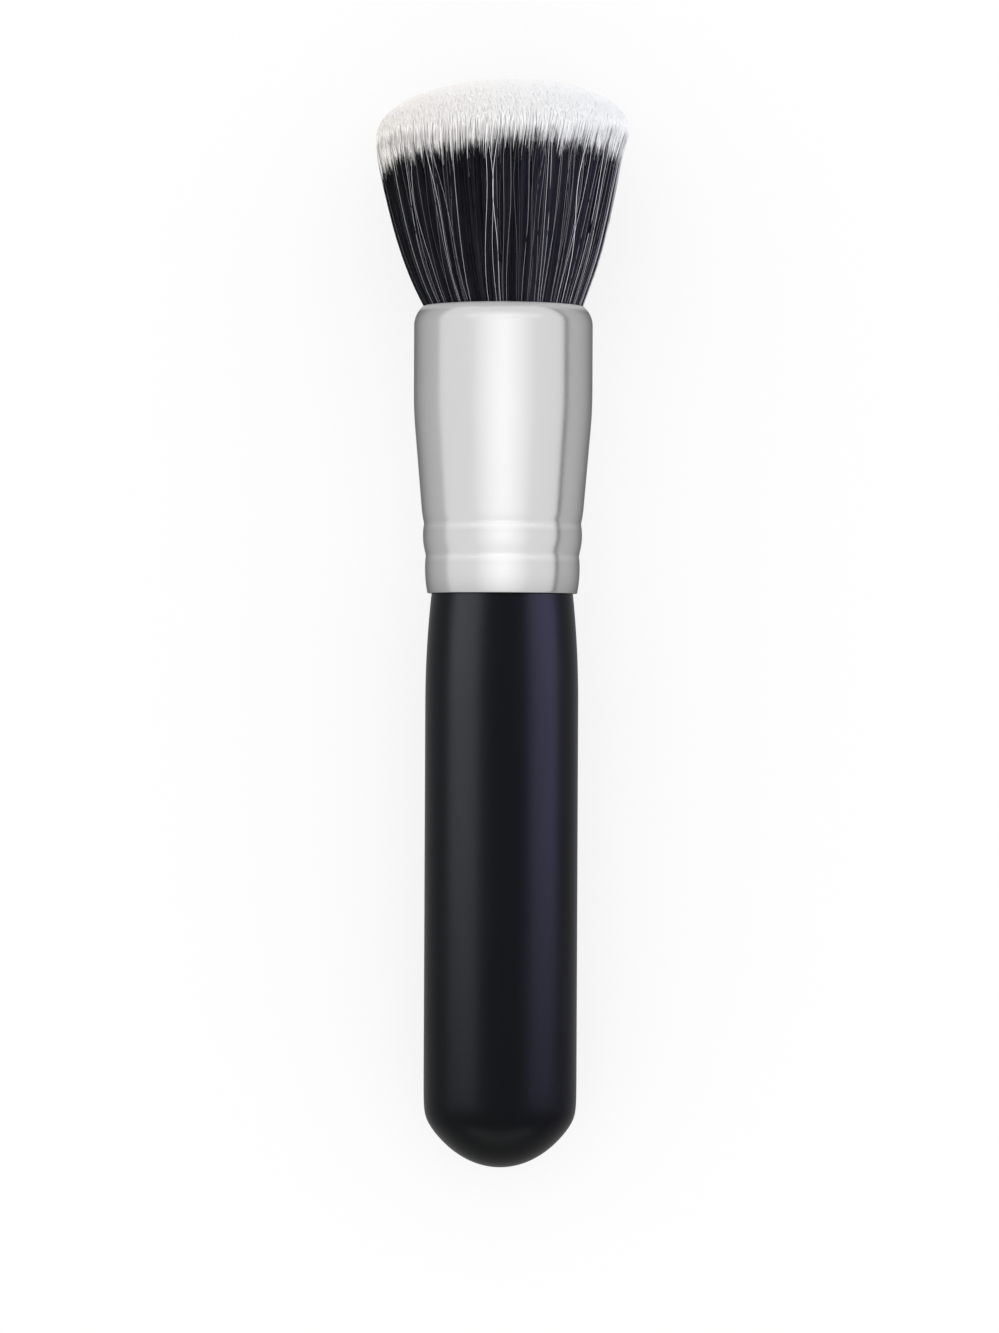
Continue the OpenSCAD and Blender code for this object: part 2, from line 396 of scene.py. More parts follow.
@dataclass(frozen=True)
class SatinAluminium(Finish):
    """Drawn aluminium with a satin anodised skin and fine rings, painted shade that darkens the hem, and
    painted highlights at the crimps and on the pale lip.
    """

    name: str = "satin_aluminium"
    colour: Colour = (0.675,) * 3
    dull: Colour = (0.645,) * 3
    edge: Colour = (0.35,) * 3
    roughness: float = 0.21
    roughness_spread: float = 0.07
    rings_per_m: Triple = (60, 5200, 60)
    rings_share: float = 0.4
    rings_strength: float = 0.05
    rings_m: float = 0.00001
    cloud_per_m: Triple = (160, 60, 160)
    lip_at_m: float = 0.1176
    lip_blend_m: float = 0.0006
    lip_roughness: float = 0.36
    # Painted highlight: the rolled lip's paler base colour.
    lip_highlight_colour: Colour = (0.93,) * 3
    # Painted shade: the base colour darkens over the last few millimetres towards the hem.
    hem_at_m: float = 0.0792
    hem_shade_blend_m: float = 0.0035
    hem_painted_shade: Colour = (0.53,) * 3
    # Painted highlights: paler rings of base colour just below each crimp, where the groove's wall catches the
    # light.
    crimp_highlights_m: tuple[float, ...] = (0.0839, 0.0882)
    crimp_highlight_width_m: float = 0.0007
    crimp_highlight_colour: Colour = (0.745,) * 3

    def paint(self, shader: Shader) -> None:
        """Adds the rings and clouds, and what differs along the ferrule: painted shade at the hem, painted
        highlights at the crimps and on the lip, and a rougher lip.

        Args:
            shader: The material's nodes.
        """
        rings = shader.noise(self.rings_per_m)
        cloud = shader.noise(self.cloud_per_m)
        along = shader.part("Y")
        lip = ((along - self.lip_at_m) / self.lip_blend_m).clamp()
        # Painted shade: this mask darkens the base colour towards the hem's edge.
        hem = (1 - (along - self.hem_at_m) / self.hem_shade_blend_m).clamp()
        share = cloud * (1 - self.rings_share) + rings * self.rings_share
        skin = shader.colour_mix(share, self.dull, self.colour)
        # Painted shade laid into the skin's colour towards the hem.
        skin = shader.colour_mix(hem * hem, skin, self.hem_painted_shade)
        # Painted highlight: a paler ring of base colour at each crimp.
        for place in self.crimp_highlights_m:
            skin = shader.colour_mix(along.peak(place, self.crimp_highlight_width_m), skin, self.crimp_highlight_colour)
        shader.surface(
            # Painted highlight: the lip's base colour is paler than the skin.
            Base_Color=shader.colour_mix(lip, skin, self.lip_highlight_colour),
            Metallic=1.0,
            Specular_Tint=(*self.edge, 1),
            Roughness=self.roughness + self.roughness_spread * (rings + cloud - 1) + self.lip_roughness * lip,
            Normal=shader.bump(rings, self.rings_strength, self.rings_m),
        )


@dataclass(frozen=True)
class HairTone(Finish):
    """Fibres whose colour runs from low to high by the tone that each carries, with painted coloured light
    cast from the left and right.
    """

    low: Colour
    high: Colour
    # left and right are painted light: the colour cast of the lamps on each side, multiplied into the fibres'
    # colour.
    left: Colour
    right: Colour
    roughness: float
    reflectance: float
    painted_light_width: float = 0.03
    patches_per_m: Triple = (420, 60, 420)
    patches_share: float = 0.2

    def paint(self, shader: Shader) -> None:
        """Adds the tones and the painted side light.

        Args:
            shader: The material's nodes.
        """
        tone = shader.node("ShaderNodeAttribute", {"attribute_name": TONE}, output="Fac")
        patches = shader.noise(self.patches_per_m, 2)
        mixed = tone * (1 - self.patches_share) + patches * self.patches_share
        plain = shader.colour_mix(mixed, self.low, self.high)
        # Painted light: a colour cast that runs from the left colour to the right one across the head.
        sideways = shader.part("X")
        share = (sideways / self.painted_light_width + 0.5).clamp()
        painted_side_light = shader.colour_mix(share, self.left, self.right)
        shader.surface(
            Base_Color=shader.colour_mix(1.0, plain, painted_side_light, "MULTIPLY"),
            Roughness=self.roughness,
            Specular_IOR_Level=self.reflectance,
        )


@dataclass(frozen=True)
class PlainFinish(Finish):
    """A mottled finish of one colour, for pieces that the ferrule hides."""

    colour: Colour
    dark: Colour
    roughness: float
    grain_per_m: float
    grain_strength: float = 0.2
    grain_m: float = 0.00005

    def paint(self, shader: Shader) -> None:
        """Adds the mottling.

        Args:
            shader: The material's nodes.
        """
        grain = shader.noise((self.grain_per_m,) * 3)
        shader.surface(
            Base_Color=shader.colour_mix(grain, self.dark, self.colour),
            Roughness=self.roughness,
            Normal=shader.bump(grain, self.grain_strength, self.grain_m),
        )


def arc(centre: Point, radius: float, start: float, end: float, steps: int) -> list[Point]:
    """Points of an arc, both ends included.

    Args:
        centre: The arc's centre.
        radius: The arc's radius.
        start: First angle, in radians.
        end: Last angle, in radians.
        steps: Spans between the points.

    Returns:
        The points.
    """
    angles = [start + (end - start) * i / steps for i in range(steps + 1)]
    return [(centre[0] + radius * math.cos(a), centre[1] + radius * math.sin(a)) for a in angles]


def bowed(start: Point, end: Point, bow: float) -> list[Point]:
    """Points of a line whose middle stands out by bow.

    Args:
        start: First point.
        end: Last point.
        bow: How far the middle stands out.

    Returns:
        The points.
    """
    line = []
    for t in [i / BOW_STEPS for i in range(BOW_STEPS + 1)]:
        out = start[0] + (end[0] - start[0]) * t + 4 * bow * t * (1 - t)
        line.append((out, start[1] + (end[1] - start[1]) * t))
    return line


def softened(points: Sequence[Point], radius: float) -> list[Point]:
    """Cuts each inner corner of a line back by radius, or by most of a short side, and rounds it.

    Args:
        points: The line.
        radius: How far along each side the rounding starts.

    Returns:
        The rounded line.
    """
    line = [Vector(p) for p in points]
    rounded = [tuple(line[0])]
    for before, corner, after in zip(line, line[1:], line[2:]):
        reach = min(radius, *(ROUND_MOST * (side - corner).length for side in (before, after)))
        start = corner + (before - corner).normalized() * reach
        end = corner + (after - corner).normalized() * reach
        for t in [i / ROUND_STEPS for i in range(ROUND_STEPS + 1)]:
            rounded.append(tuple(start * (1 - t) ** 2 + corner * 2 * t * (1 - t) + end * t * t))
    rounded.append(tuple(line[-1]))
    return rounded


def in_scene(name: str, data: bpy.types.ID) -> bpy.types.Object:
    """Puts an object in the scene.

    Args:
        name: Its name.
        data: Its mesh, curve, lamp or camera.

    Returns:
        The object.
    """
    made = bpy.data.objects.new(name, data)
    bpy.context.scene.collection.objects.link(made)
    return made


def shown(name: str, mesh: bpy.types.Mesh, material: bpy.types.Material, slot: Slot) -> bpy.types.Object:
    """Makes a mesh a piece of the brush that rides on its one body.

    Args:
        name: The piece's name.
        mesh: Its mesh, in the frame.
        material: Its material.
        slot: Its slot in the record; not used.

    Returns:
        The object.
    """
    mesh.materials.clear()
    mesh.materials.append(material)
    mesh.shade_smooth()
    piece = in_scene(name, mesh)
    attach(piece, "root")
    triangles = sum(len(p.vertices) - 2 for p in mesh.polygons)
    log.info("%s: %d triangles", name, triangles)
    return piece


def turned(
    name: str, outline: Sequence[Point], closed: bool, matrix: Matrix = AXIS.matrix, steps: int = 160
) -> bpy.types.Mesh:
    """Spins an outline about the brush's axis.

    Args:
        name: The mesh's name.
        outline: Points (distance from the axis, place along it), in millimetres.
        closed: Whether the outline's ends meet; otherwise both lie on the axis.
        matrix: Takes (sideways, above, along) in millimetres to where the mesh lies.
        steps: Copies round the turn.

    Returns:
        The closed mesh.
    """
    made = bmesh.new()
    corners = [made.verts.new((r, 0, s)) for r, s in outline]
    for first, second in zip(corners, corners[1:] + corners[:1] if closed else corners[1:]):
        made.edges.new((first, second))
    bmesh.ops.spin(
        made,
        geom=made.verts[:] + made.edges[:],
        cent=(0, 0, 0),
        axis=(0, 0, 1),
        angle=FULL_TURN,
        steps=steps,
        use_merge=True,
    )
    bmesh.ops.remove_doubles(made, verts=made.verts, dist=MERGE_MM)
    bmesh.ops.transform(made, matrix=matrix, verts=made.verts)
    bmesh.ops.recalc_face_normals(made, faces=made.faces)
    mesh = bpy.data.meshes.new(name)
    made.to_mesh(mesh)
    made.free()
    return mesh


@dataclass
class Handle:
    """The turned handle: dome, shoulder, straight grip, neck and the tenon that the ferrule hides."""

    grip_r: float = 10.55
    dome_ellipse: Point = (13.5, 18.92)
    dome_edge: float = 26
    dome_reach: float = 14.0
    length: float = 79.2
    neck_len: float = 15.2
    tenon_r: float = 9.73
    tenon_len: float = 14.2
    chamfer: float = 0.8
    dome_steps: int = 48
    neck_steps: int = 16
    finish: Lacquer = field(default_factory=Lacquer)

    def dome_r(self, along: float) -> float:
        """Radius of the dome: an ellipse that turns softly into the straight grip.

        Args:
            along: Place along the brush.

        Returns:
            The radius there.
        """
        width, depth = self.dome_ellipse
        ellipse = width * math.sqrt(1 - (1 - along / depth) ** 2)
        return (ellipse**-self.dome_edge + self.grip_r**-self.dome_edge) ** (-1 / self.dome_edge)

    def outline(self) -> list[Point]:
        """Half the handle's section, from the dome's tip to the end of the tenon.

        Returns:
            Points (distance from the axis, place along it).
        """
        shares = [i / self.dome_steps for i in range(1, self.dome_steps + 1)]
        places = [self.dome_reach * share**2 for share in shares]
        line = [(0.0, 0.0)] + [(self.dome_r(place), place) for place in places]
        drop = self.grip_r - self.tenon_r
        neck_r = (self.neck_len**2 + drop**2) / (2 * drop)
        neck = (self.grip_r - neck_r, self.length - self.neck_len)
        end = self.length + self.tenon_len
        line += arc(neck, neck_r, 0, math.asin(self.neck_len / neck_r), self.neck_steps)
        line += [(self.tenon_r, end - self.chamfer), (self.tenon_r - self.chamfer, end), (0.0, end)]
        return line

    def build(self) -> None:
        """Builds and dresses the handle."""
        mesh = turned("lacquered_handle", self.outline(), False)
        piece = shown("lacquered_handle", mesh, self.finish.material(), Slot.LACQUER)
        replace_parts(piece, "handle")


@dataclass
class Ferrule:
    """The drawn ferrule: a crimped hem, a cone, a straight body and a mouth rolled inwards."""

    start: float = 79.05
    wall: float = 0.45
    end_r: float = 10.33
    low_crimp: Point = (10.55, 5.15)
    high_crimp: Point = (10.82, 9.62)
    crimp_foot: Point = (0.085, 0.5)
    crimp_top: Point = (0.2, 0.9)
    crimp_round: float = 0.8
    hem_bow: float = 0.15
    band_bow: float = 0.14
    cone_foot: Point = (11.15, 11.55)
    cone_top: float = 25.25
    body_r: float = 12.32
    bend_r: float = 60.0
    roll_h: float = 36.87
    roll_r: float = 3.5
    mouth_r: float = 11.1
    cut_round: float = 0.14
    bend_steps: int = 8
    roll_steps: int = 14
    finish: SatinAluminium = field(default_factory=SatinAluminium)

    @property
    def roll_angle(self) -> float:
        """Angle through which the mouth is rolled in, in radians."""
        return math.acos((self.mouth_r - self.body_r + self.roll_r) / self.roll_r)

    @property
    def mouth(self) -> float:
        """Place along the brush of the mouth's inner edge."""
        return self.start + self.roll_h + (self.roll_r - self.wall) * math.sin(self.roll_angle)

    @property
    def lip_r(self) -> float:
        """Radius of the mouth's inner edge."""
        return self.body_r - self.roll_r + (self.roll_r - self.wall) * math.cos(self.roll_angle)

    def side(self, inset: float) -> list[Point]:
        """One face of the sheet, from the hem to the mouth.

        Args:
            inset: How far inside the outer face it lies.

        Returns:
            Points (distance from the axis, place along it).
        """
        (foot_r, foot_h), (top_r, top_h) = self.crimp_foot, self.crimp_top
        (low_r, low_h), (high_r, high_h) = self.low_crimp, self.high_crimp
        angle = math.atan((self.body_r - self.cone_foot[0]) / (self.cone_top - self.cone_foot[1]))
        bend = (self.body_r - self.bend_r, self.cone_top + self.bend_r * math.tan(angle / 2))
        line = bowed((self.end_r, 0), (low_r + foot_r, low_h - foot_h), self.hem_bow)
        line += [(low_r, low_h)]
        line += bowed((low_r + top_r, low_h + top_h), (high_r + foot_r, high_h - foot_h), self.band_bow)
        line += [(high_r, high_h), (high_r + top_r, high_h + top_h), self.cone_foot]
        line = softened(line, self.crimp_round)
        line += arc(bend, self.bend_r, -angle, 0, self.bend_steps)
        line = [(r - inset, s) for r, s in line]
        roll = (self.body_r - self.roll_r, self.roll_h)
        line += arc(roll, self.roll_r - inset, 0, self.roll_angle, self.roll_steps)
        return [(r, s + self.start) for r, s in line]

    def outline(self) -> list[Point]:
        """The closed section of the sheet, with its two cut edges softened.

        Returns:
            Points (distance from the axis, place along it).
        """
        outer = self.side(0)
        ring = outer + self.side(self.wall)[::-1]
        lip = len(outer)
        edge = softened(ring[lip - 2 : lip + 2], self.cut_round)
        hem = softened(ring[-2:] + ring[:2], self.cut_round)
        return ring[2 : lip - 2] + edge + ring[lip + 2 : -2] + hem

    def build(self) -> None:
        """Builds and dresses the ferrule."""
        mesh = turned("satin_ferrule", self.outline(), True)
        piece = shown("satin_ferrule", mesh, self.finish.material(), Slot.ALUMINIUM)
        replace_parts(piece, "ferrule")


@dataclass
class Root:
    """The pieces inside the ferrule, which keep their solids and only get a finish."""

    resin: PlainFinish = PlainFinish("cast_resin", (0.5, 0.29, 0.08), (0.36, 0.19, 0.04), 0.18, 300)
    thread: PlainFinish = PlainFinish("waxed_thread", (0.3, 0.27, 0.22), (0.18, 0.16, 0.13), 0.7, 5000)

    def dress(self) -> None:
        """Gives the solids their materials."""
        for name, finish, slot in (
            ("resin_plug", self.resin, Slot.RESIN),
            ("binding_thread", self.thread, Slot.THREAD),
        ):
            node = frame["nodes"][name]
            node.data.materials.clear()
            node.data.materials.append(finish.material())
            log.info("%s: dressed as %s", name, finish.name)


class Level(Enum):
    """Where fibres start or end."""

    MOUTH = "a little below the ferrule's mouth"
    DARK_LINE = "on the ragged line where the dark hair ends"
    IN_THE_WHITE = "above that line, for the few dark hairs that reach into the white"
    UNDER_DARK_LINE = "under the ends of the dark hair, for the crown's wall"
    BELOW_CROWN = "inside the crown, for the short tips that fill it"
    CROWN = "on the crown"


@dataclass
class HeadShape:
    """The outline of the spread head and the levels on it, which every fibre follows in its own place.

    Lengths are in millimetres, heights are above the mouth, and angles are in radians. The dark hair ends
    at dark_end on the brush's upper side, and lower by side_drop from drop_angle on, round the back. Its
    line has waves, each given as height, number round the head and phase.
    """

    mouth: float
    lip_r: float
    height: float = 23.8
    rim_r: float = 17.43
    bow: float = 0.8
    shoulder_bow: float = 0.15
    crown_h: float = 7.5
    crown_power: float = 2.15
    crown_spread: float = 0.13
    crown_sink: float = 0.04
    sway: float = 0.13
    sway_start: float = 0.08
    crown_shift: float = 0.42
    shift_power: int = 12
    lean: float = math.radians(1.5)
    slant: float = math.radians(2.2)
    press: float = 0.5
    past_rim: float = 1.3
    start_depth: Point = (0.245, 0.35)
    dark_end: float = 21.25
    dark_slant: float = 0.65
    dark_spread: float = 1.45
    side_drop: float = 3.6
    drop_angle: float = 1.05
    drop_width: float = 0.25
    line_waves: tuple[Triple, ...] = ((0.2, 5, 1), (0.15, 11, 0))
    stray_rise: float = 6.0
    wall_depth: Point = (2.0, 5.0)
    tip_depth: Point = (2.2, 3.4)

    @property
    def rim(self) -> float:
        """Place along the brush of the widest ring."""
        return self.mouth + self.height

    @property
    def line(self) -> float:
        """Place along the brush of the dark line, on the brush's upper side."""
        return self.mouth + self.dark_end

    def radius(self, along: Array) -> Array:
        """Radius of the head's skin.

        Args:
            along: Places along the brush.

        Returns:
            The radius at each.
        """
        u = np.clip((along - self.mouth) / self.height, 0, 1)
        even = self.lip_r + (self.rim_r - self.lip_r) * u + 4 * self.bow * u * (1 - u)
        return even + self.shoulder_bow * np.sin(FULL_TURN * u)

    def crown(self, share: Array) -> Array:
        """Place along the brush where the crown stands.

        Args:
            share: Distance from the axis as a share of the widest radius.

        Returns:
            The place at each.
        """
        inside = np.clip(1 - np.clip(share, 0, 1) ** self.crown_power, 0, 1)
        return self.rim + self.crown_h * inside ** (1 / self.crown_power)

    def rise(self, turn: Array) -> Array:
        """How much higher or lower the dark hair ends than on the brush's upper side.

        Args:
            turn: Angles round the axis.

        Returns:
            The rise at each, mostly below zero.
        """
        from_top = np.arccos(np.clip(np.sin(turn), -1, 1))
        low = 1 / (1 + np.exp((self.drop_angle - from_top) / self.drop_width))
        return self.dark_slant * np.cos(turn) - self.side_drop * low

    def reach(
        self, level: Level, share: Array, turn: Array, rng: np.random.Generator
    ) -> Array:
        """Finds where fibres start or end.

        Args:
            level: The level that they reach.
            share: Depth of each fibre, as a share of the skin's radius.
            turn: Angle of each fibre.
            rng: Random numbers.

        Returns:
            The place of each along the brush.
        """
        count = len(share)
        match level:
            case Level.MOUTH:
                return self.mouth - rng.uniform(*self.start_depth, count)
            case Level.DARK_LINE:
                ragged = rng.normal(0, self.dark_spread, count) + self.rise(turn)
                waves = sum(high * np.sin(number * turn + phase) for high, number, phase in self.line_waves)
                return self.line + ragged + waves
            case Level.IN_THE_WHITE:
                above = self.stray_rise * rng.uniform(0.1, 1, count) ** 2.5
                return self.line + self.rise(turn) + above
            case Level.UNDER_DARK_LINE:
                least, more = self.wall_depth
                return self.line + self.rise(turn) - (least + more * rng.uniform(0, 1, count) ** 1.5)
            case Level.BELOW_CROWN:
                return self.crown(share) - rng.uniform(*self.tip_depth, count)
            case Level.CROWN:
                return self.crown(share) + rng.normal(-self.crown_sink, self.crown_spread, count)

    def settle(self, share: Array, turn: Array, along: Array) -> Array:
        """Puts points of the head where they lie, leaning, slanting and pressed flat on the surface.

        Args:
            share: Distance from the axis as a share of the skin's radius there.
            turn: Angle round the axis, in radians.
            along: Place along the brush.

        Returns:
            The points in metres.
        """
        out = share * self.radius(along)
        sideways = out * np.cos(turn)
        rise = np.clip(along - self.mouth, 0, None)
        u = np.clip(rise / self.height, 0, 1)
        swayed = self.sway * np.tanh(u / self.sway_start) * (1 - u * u)
        bend = self.crown_shift * u**self.shift_power - swayed
        points = np.stack(
            [
                sideways - math.sin(self.lean) * rise + bend,
                out * np.sin(turn),
                along + math.sin(self.slant) * sideways * u,
            ],
            axis=-1,
        )
        placed = AXIS.place(points)
        press = self.press * MM
        low = placed[..., 2] < press
        placed[..., 2][low] = press * np.exp(placed[..., 2][low] / press - 1)
        return placed


@dataclass
class Lock:
    """How fibres gather into locks as the head spreads.

    Attributes:
        count: Locks round the head.
        pull: Share of the way to its lock's middle that a fibre moves at the rim.
        rate: How much sooner than the rim the locks are fully drawn.
        wander: How far a lock's middle lies off its even place, as a share of its width.
        groove: Depth between locks, as a share of the radius.
        shade: Share of a fibre's tone that its lock gives.
    """

    count: int = 130
    pull: float = 0.35
    rate: float = 1.6
    wander: float = 0.35
    groove: float = 0.02
    shade: float = 0.65
    place_seed: int = 7
    shade_seed: int = 9

    def tones(self, turn: Array, own: Array) -> Array:
        """Gives the fibres of a lock like tones, so that light and dark streaks run along the head.

        Args:
            turn: Angle of each fibre.
            own: Tone that each fibre would have by itself.

        Returns:
            The tones.
        """
        rng = np.random.default_rng(self.shade_seed)
        shade = np.zeros(len(turn))
        for parts in (self.count, 3 * self.count):
            index = np.floor(turn / FULL_TURN * parts).astype(int) % parts
            shade += 0.5 * rng.uniform(0, 1, parts)[index] ** 3
        return own * (1 - self.shade) + shade * self.shade

    def gather(self, turn: Array, u: Array) -> tuple[Array, Array]:
        """Draws fibres towards their locks.

        Args:
            turn: Angle of each fibre, one a row.
            u: Share of the head's height, one row a fibre.

        Returns:
            The change of angle, and the share of the radius to take off, at each station.
        """
        shift = np.random.default_rng(self.place_seed).uniform(-self.wander, self.wander, self.count)
        place = turn[:, None] / FULL_TURN * self.count
        index = np.floor(place).astype(int) % self.count
        off = place - (np.floor(place) + 0.5 + shift[index])
        strength = np.clip(u * self.rate, 0, 1)
        return -off * self.pull * strength * FULL_TURN / self.count, self.groove * strength * off**2


def set_tones(mesh: bpy.types.Mesh, tones: Array) -> None:
    """Stores the tone that the hair's finish reads.

    Args:
        mesh: The mesh.
        tones: A tone for each of its vertices, from 0 to 1.
    """
    tone = mesh.attributes.new(TONE, "FLOAT", "POINT")
    tone.data.foreach_set("value", tones.astype(np.float32))


@dataclass
class Fibres:
    """One kind of fibre in one layer of the head.

    Attributes:
        stations: Points along each fibre, its two pointed ends included.
        radius: Half a fibre's thickness in millimetres, and widths the least and most share of it.
        depth: Least and most distance from the axis, as shares of the skin's radius.
        slack: How far past the greatest depth a fibre may stand out.
        taper: Share of the length over which the end runs to a point, as point is for the start.
        drift: Spread of the sideways wander from start to end, in radians.
        weave: How far fibres dip in and out, as a share of the radius.
        pace: Least and most pace of the wander's and the weave's waves.
        tuck: How much deeper fibres start, as a share of the radius.
        root: Thickness at the start, as a share of the whole thickness.
        lock: How the fibres gather, if they do.
        jitter: How far stations lie off even steps, as a share of a step.
    """

    name: str
    count: int
    stations: int
    radius: float
    depth: Point
    start: Level
    end: Level
    taper: float
    drift: float
    weave: float
    seed: int
    tuck: float = 0.0
    root: float = 1.0
    lock: Lock | None = None
    point: float = 0.02
    slack: float = 0.004
    jitter: float = 0.4
    pace: Point = (2, 5)
    widths: Point = (0.6, 1.3)

    def paths(self, shape: HeadShape) -> tuple[Array, Array, Array]:
        """Works out every fibre's course.

        Args:
            shape: The head's outline.

        Returns:
            Points in metres and radii in metres, one row a fibre, and each fibre's tone.
        """
        rng = np.random.default_rng(self.seed)
        low, high = self.depth
        share = np.sqrt(rng.uniform(low**2, high**2, self.count))
        turn = rng.uniform(0, FULL_TURN, self.count)
        begin = shape.reach(self.start, share, turn, rng)
        finish = shape.reach(self.end, share, turn, rng)
        rings = np.linspace(1 - self.taper, self.point, self.stations - 2)[::-1]
        t = np.tile(np.concatenate([[0], rings, [1]]), (self.count, 1))
        if self.stations > 4:
            uneven = rng.uniform(-self.jitter, self.jitter, (self.count, self.stations - 4))
            t[:, 2:-2] += uneven * (rings[1] - rings[0])
        along = begin[:, None] + (finish - begin)[:, None] * t
        u = np.clip((along - shape.mouth) / shape.height, 0, shape.past_rim)
        phase = rng.uniform(0, FULL_TURN, (2, self.count, 1))
        pace = rng.uniform(*self.pace, (2, self.count, 1))
        steady = rng.normal(0, self.drift, (self.count, 1)) * u
        wavy = rng.normal(0, self.drift / 2, (self.count, 1)) * np.sin(1.6 * pace[0] * u + phase[0]) * u
        dip = self.weave * np.sin(pace[1] * u + phase[1]) * np.clip(u * 3, 0, 1)
        turns = turn[:, None] + (steady + wavy)
        shares = share[:, None] + dip - self.tuck * (1 - t) ** 2
        if self.lock:
            pulled, taken = self.lock.gather(turn, u)
            turns = turns + pulled
            shares = shares - taken
        points = shape.settle(np.clip(shares, 0, high + self.slack), turns, along)
        width = self.radius * MM * rng.uniform(*self.widths, (self.count, 1))
        radii = width * (self.root + (1 - self.root) * u.clip(0, 1))
        radii[:, [0, -1]] = 0
        tones = rng.uniform(0, 1, self.count) ** 2
        if self.lock:
            tones = self.lock.tones(turn, tones)
        return points, radii, tones

    def mesh(self, shape: HeadShape) -> bpy.types.Mesh:
        """Makes the fibres as three-sided closed tubes.

        Args:
            shape: The head's outline.

        Returns:
            The mesh.
        """
        points, radii, tones = self.paths(shape)
        curve = bpy.data.curves.new(self.name, "CURVE")
        curve.dimensions = "3D"
        curve.bevel_mode = "OBJECT"
        section = three_sided_section()
        curve.bevel_object = section
        ones = np.ones((self.stations, 1))
        for row, width in zip(points, radii):
            spline = curve.splines.new("POLY")
            spline.points.add(self.stations - 1)
            spline.points.foreach_set("co", np.hstack([row, ones]).ravel().astype(np.float32))
            spline.points.foreach_set("radius", width.astype(np.float32))
        strand = in_scene(self.name, curve)
        evaluated = strand.evaluated_get(bpy.context.evaluated_depsgraph_get())
        mesh = bpy.data.meshes.new_from_object(evaluated)
        bpy.data.objects.remove(strand)
        bpy.data.objects.remove(section)
        set_tones(mesh, np.repeat(tones, 3 * self.stations))
        made = bmesh.new()
        made.from_mesh(mesh)
        bmesh.ops.remove_doubles(made, verts=made.verts, dist=MERGE_MM * MM)
        bmesh.ops.recalc_face_normals(made, faces=made.faces)
        made.to_mesh(mesh)
        made.free()
        return mesh


def three_sided_section() -> bpy.types.Object:
    """Makes the closed section that every fibre is swept with.

    Returns:
        A curve object of three points, one unit from its middle.
    """
    curve = bpy.data.curves.new("fibre_section", "CURVE")
    spline = curve.splines.new("POLY")
    spline.points.add(2)
    for i, point in enumerate(spline.points):
        turn = -FULL_TURN * i / 3
        point.co = (math.cos(turn), math.sin(turn), 0, 1)
    spline.use_cyclic_u = True
    return in_scene("fibre_section", curve)


# The left and right colours below are painted light: a bluish cast on the left and a violet one on the right
# of the dark hair, cooler on the left and more violet on the right of the pale strands, warm on the left and
# cool on the right of the white fibres.
DARK_HAIR = HairTone(
    "dark_goat_hair", low=(0.0006,) * 3, high=(0.052,) * 3, left=(1.0, 1.02, 1.2), right=(1.0, 0.95, 1.55),
    roughness=0.45, reflectance=0.02,
)
PALE_STRAND = HairTone(
    "pale_strand", low=(0.68, 0.68, 0.7), high=(0.95, 0.95, 0.97), left=(0.97, 0.98, 1.0),
    right=(0.95, 0.94, 1.0), roughness=0.4, reflectance=0.3,
)
DIM_STRAND = replace(PALE_STRAND, name="dim_strand", low=(0.07, 0.07, 0.075), high=(0.55, 0.55, 0.57))
WHITE_FIBRE = HairTone(
    "white_fibre", low=(0.95,) * 3, high=(0.98,) * 3, left=(1.0, 0.975, 0.95), right=(0.98, 0.99, 1.02),
    roughness=0.5, reflectance=0.2,
)


